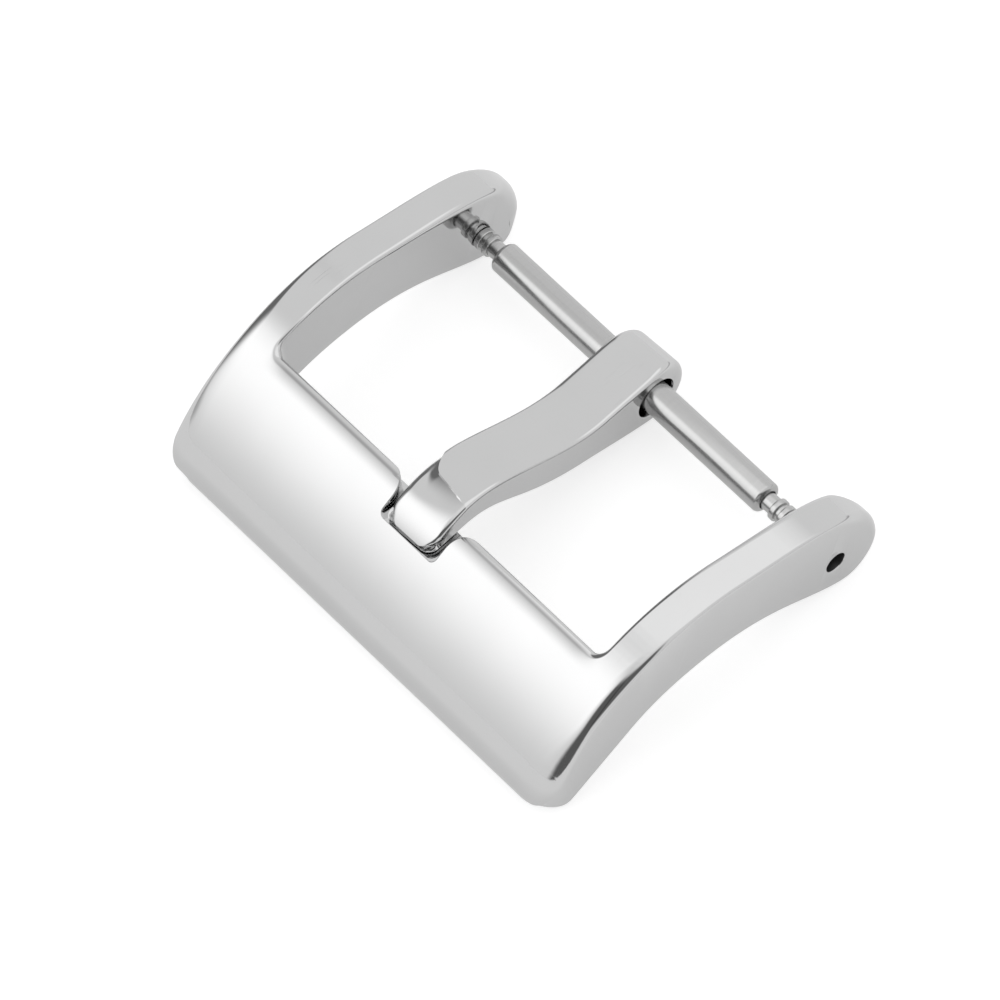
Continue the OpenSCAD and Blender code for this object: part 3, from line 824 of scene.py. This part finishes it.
bar = {
    "tubeRadius": 0.715, "tubeWall": 0.15, "faceGap": 0.03, "play": 1.15, "slideFit": 0.05,
    "shank": 0.52, "flange": 0.28, "groove": 0.18, "flangeRadius": 0.52, "flangeRound": 0.05,
    "tipRadius": 0.45, "tipSink": 0.13, "tipRound": 0.12, "head": 1.0, "bright": 0.8,
    "crimp": 0.3, "crimpRound": 0.2, "shankStep": 0.11, "endRadius": 0.02, "steps": 128, "roundSteps": 6,
}
plungerOut = bar["shank"] + 2 * bar["flange"] + bar["groove"]
tubeX0 = -buckle["innerX"] + bar["faceGap"] + plungerOut
tubeX1 = buckle["innerX"] - bar["play"] - plungerOut
tubeBore = bar["tubeRadius"] - bar["tubeWall"]
headRadius = tubeBore - bar["slideFit"]
shankRadius = headRadius - bar["shankStep"]
mouthRadius = shankRadius + bar["slideFit"]


def roundedCorner(radius, along, r, fromAngle, toAngle):
    # arc about a point of the profile, angles from the radius axis towards the bar's length
    return [(radius + r * math.cos(math.radians(a)), along + r * math.sin(math.radians(a)))
            for a in np.linspace(fromAngle, toAngle, bar["roundSteps"] + 1)]


def tubeProfile():
    r = bar["crimpRound"]
    low = roundedCorner(bar["tubeRadius"] - r, tubeX0 + r, r, -90, 0)
    high = roundedCorner(bar["tubeRadius"] - r, tubeX1 - r, r, 0, 90)
    return ([(mouthRadius, tubeX0)] + low + high
            + [(mouthRadius, tubeX1), (mouthRadius, tubeX1 - bar["crimp"]), (tubeBore, tubeX1 - bar["crimp"]),
               (tubeBore, tubeX0 + bar["crimp"]), (mouthRadius, tubeX0 + bar["crimp"])])


def flangeProfile(along):
    r, c = bar["flangeRadius"], bar["flangeRound"]
    return (roundedCorner(r - c, along + c, c, -90, 0)
            + roundedCorner(r - c, along + bar["flange"] - c, c, 0, 90))


def plungerProfile(start, way):
    groove = bar["shank"] + bar["flange"]
    tipStart = groove + bar["groove"] + bar["flange"]
    tipLength = buckle["armWidth"] - bar["tipSink"] - bar["faceGap"]
    headStart = -bar["crimp"] - bar["faceGap"]
    tipR, c = bar["tipRadius"], bar["tipRound"]
    headEnd = headStart - bar["head"]
    points = [(bar["endRadius"], headEnd), (headRadius, headEnd), (headRadius, headStart),
              (shankRadius, headStart), (shankRadius, bar["shank"])]
    points += flangeProfile(bar["shank"])
    points += [(shankRadius, groove), (shankRadius, groove + bar["groove"])]
    points += flangeProfile(groove + bar["groove"])
    points += [(tipR, tipStart)]
    points += roundedCorner(tipR - c, tipStart + tipLength - c, c, 0, 90)
    points += [(bar["endRadius"], tipStart + tipLength)]
    return [(r, start + way * along) for r, along in points]


def buildBar():
    tube = turnedSolid("barTube", tubeProfile(), bar["steps"], alongBar, closed=True)
    smoothSides(tube)
    dressed(tube, "bar", "bar_tube", brushed)
    for name, node, start, way in (("plungerLeft", "plunger_left", tubeX0, -1),
                                   ("plungerRight", "plunger_right", tubeX1, 1)):
        piece = turnedSolid(name, plungerProfile(start, way), bar["steps"], alongBar)
        smoothSides(piece)
        dressed(piece, node, node, brushed)
        # plunger tips inside the ear holes take the painted hole shade
        shadeInHoles(piece, drilledShade, bar["tipRadius"], buckle["innerX"] + bar["bright"])
    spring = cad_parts["coil_spring"]
    spring.data.materials.clear()
    spring.data.materials.append(drawn)


buildBar()
print("bar made")


# camera, in the photograph's place

view = {
    "turn": 55.3216, "height": 60.0529, "roll": -8.2669,   # degrees
    "right": 5.8952, "up": 4.7362, "distance": 430.0,      # millimetres
    "focal": 10434.47, "frame": 1000,                      # pixels
    "sensor": 36, "clip": (0.02, 20),                      # millimetres; metres
}


def placeCamera():
    a, e, roll = (math.radians(view[k]) for k in ("turn", "height", "roll"))
    back = Vector((math.sin(a) * math.cos(e), -math.cos(a) * math.cos(e), math.sin(e)))
    level = Vector((math.cos(a), math.sin(a), 0))
    rise = back.cross(level)
    right = math.cos(roll) * level + math.sin(roll) * rise
    up = -math.sin(roll) * level + math.cos(roll) * rise
    spot = -view["right"] * right - view["up"] * up + view["distance"] * back
    spot += Vector((0, barY, barH))
    data = bpy.data.cameras.new("studioCamera")
    data.sensor_width = view["sensor"]
    data.lens = view["focal"] / view["frame"] * view["sensor"]
    data.clip_start, data.clip_end = view["clip"]
    camera = bpy.data.objects.new("studioCamera", data)
    bpy.context.scene.collection.objects.link(camera)
    turn = Matrix((right, up, back)).transposed().to_4x4()
    camera.matrix_world = Matrix.Translation(spot * mm) @ turn
    bpy.context.scene.camera = camera


placeCamera()
print("camera placed")


# floor and light

studio = {
    "floorHalf": 3.0, "floorTone": 0.6,      # half the floor's side in metres, and its tone
    "floorLift": 0.64, "floorGleam": 0.51,   # what the camera and the metal see it brighter by
    # the metal sees it darker by this much at the buckle, fading over this many millimetres
    "floorShade": 0.11, "shadeReach": 5.0, "shadeStretch": 0.5,
    "surround": 1.0,
    # patches of the surround: azimuth from +Y towards +X, half width and softness,
    # elevations where it comes in and goes out, and its level: added to the surround, or left of it
    "pools": [(-146, 28, 11, (-3, 48), (50, 70), 0.76)],
    "flags": [(160, 17, 5, (-14, -8), (56, 68), 0.15),
              (122, 26, 6, (24, 34), (56, 68), 0.17),
              (-85, 27, 11, (-30, -20), (50, 60), 0.22),
              (-128, 12, 6, (-12, -6), (4, 14), 0.6),
              (45, 58, 10, (-8, -2), (2, 7), 0.5)],
    # small lamp over one arm: centre and size in millimetres from the point under the bar, level
    "armLamp": {"centre": (3.5, 8.0, 31.5), "size": (26.0, 46.0), "feather": 5.0, "layers": 6,
                "spacing": 0.05, "level": 0.33},
}


def makeFloor():
    data = bpy.data.meshes.new("floor")
    half = studio["floorHalf"]
    corners = [(-half, -half, 0), (half, -half, 0), (half, half, 0), (-half, half, 0)]
    data.from_pydata(corners, [], [(0, 1, 2, 3)])
    floor = bpy.data.objects.new("floor", data)
    bpy.context.scene.collection.objects.link(floor)
    material, w = newMaterial("paperFloor")
    tone = studio["floorTone"]
    paper = w.node("ShaderNodeBsdfDiffuse", inputs={"Color": (tone, tone, tone, 1)})
    seen = w.node("ShaderNodeLightPath", out="Is Camera Ray")
    mirrored = w.node("ShaderNodeLightPath", out="Is Glossy Ray")
    # the metal sees the paper a little darker where the buckle keeps light off it
    at = w.node("ShaderNodeNewGeometry", out="Position")
    x, y = (w.node("ShaderNodeSeparateXYZ", inputs={0: at}, out=axis) / mm for axis in "XY")
    beside = w.worked("MAXIMUM", w.worked("ABSOLUTE", x) - outerX, 0)
    beyond = w.worked("MAXIMUM", w.worked("ABSOLUTE", y) - (lipY - barY), 0) * studio["shadeStretch"]
    clear = w.worked("SQRT", beside * beside + beyond * beyond).eased(0, studio["shadeReach"])
    gleam = studio["floorGleam"] - (1 - clear) * studio["floorShade"]
    lift = seen * studio["floorLift"] + mirrored * gleam
    glow = w.node("ShaderNodeEmission", inputs={"Color": lift, "Strength": 1.0})
    both = w.node("ShaderNodeAddShader", inputs={0: paper, 1: glow})
    w.node("ShaderNodeOutputMaterial", inputs={"Surface": both})
    data.materials.append(material)


def pointing(azimuth, elevation):
    a, e = math.radians(azimuth), math.radians(elevation)
    return Vector((math.sin(a) * math.cos(e), math.cos(a) * math.cos(e), math.sin(e)))


def makeSurround():
    world = bpy.data.worlds.new("studioSurround")
    bpy.context.scene.world = world
    world.use_nodes = True
    world.node_tree.nodes.clear()
    w = Wire(world.node_tree)
    way = w.node("ShaderNodeTexCoord", out="Generated")

    def along(direction):
        return w.node("ShaderNodeVectorMath", {"operation": "DOT_PRODUCT"},
                      {0: way, 1: tuple(direction)}, out="Value")

    height = w.worked("ARCSINE", along((0, 0, 1))) * (180 / math.pi)

    def patch(azimuth, half, soft, rise, fall):
        ahead, aside = along(pointing(azimuth, 0)), along(pointing(azimuth + 90, 0))
        turn = w.worked("ABSOLUTE", w.worked("ARCTAN2", aside, ahead)) * (180 / math.pi)
        return (1 - turn.eased(half - soft, half + soft)) * height.eased(*rise) * (1 - height.eased(*fall))

    level = studio["surround"]
    for *where, added in studio["pools"]:
        level = level + patch(*where) * added
    for *where, left in studio["flags"]:
        level = level * (1 - patch(*where) * (1 - left))
    camera = w.node("ShaderNodeLightPath", out="Is Camera Ray")
    shown = level * (1 - camera) + camera
    sky = w.node("ShaderNodeBackground", inputs={"Color": shown, "Strength": 1.0})
    w.node("ShaderNodeOutputWorld", inputs={"Surface": sky})


def makeArmLamp():
    # one lamp in layers of growing length, so that its ends fade
    lamp = studio["armLamp"]
    for i in range(lamp["layers"]):
        data = bpy.data.lights.new("armLamp", "AREA")
        data.shape = "RECTANGLE"
        data.size = lamp["size"][0] * mm
        longer = 2 * lamp["feather"] * (2 * i / (lamp["layers"] - 1) - 1)
        data.size_y = (lamp["size"][1] + longer) * mm
        data.energy = lamp["level"] / lamp["layers"] * math.pi * data.size * data.size_y
        obj = bpy.data.objects.new("armLamp", data)
        spot = lamp["centre"]
        obj.location = fromBar((spot[0], spot[1], spot[2] + i * lamp["spacing"]))
        obj.visible_camera = False
        obj.visible_diffuse = False
        bpy.context.scene.collection.objects.link(obj)


makeFloor()
makeSurround()
makeArmLamp()
bpy.context.scene.view_settings.view_transform = "Standard"
print("studio made")
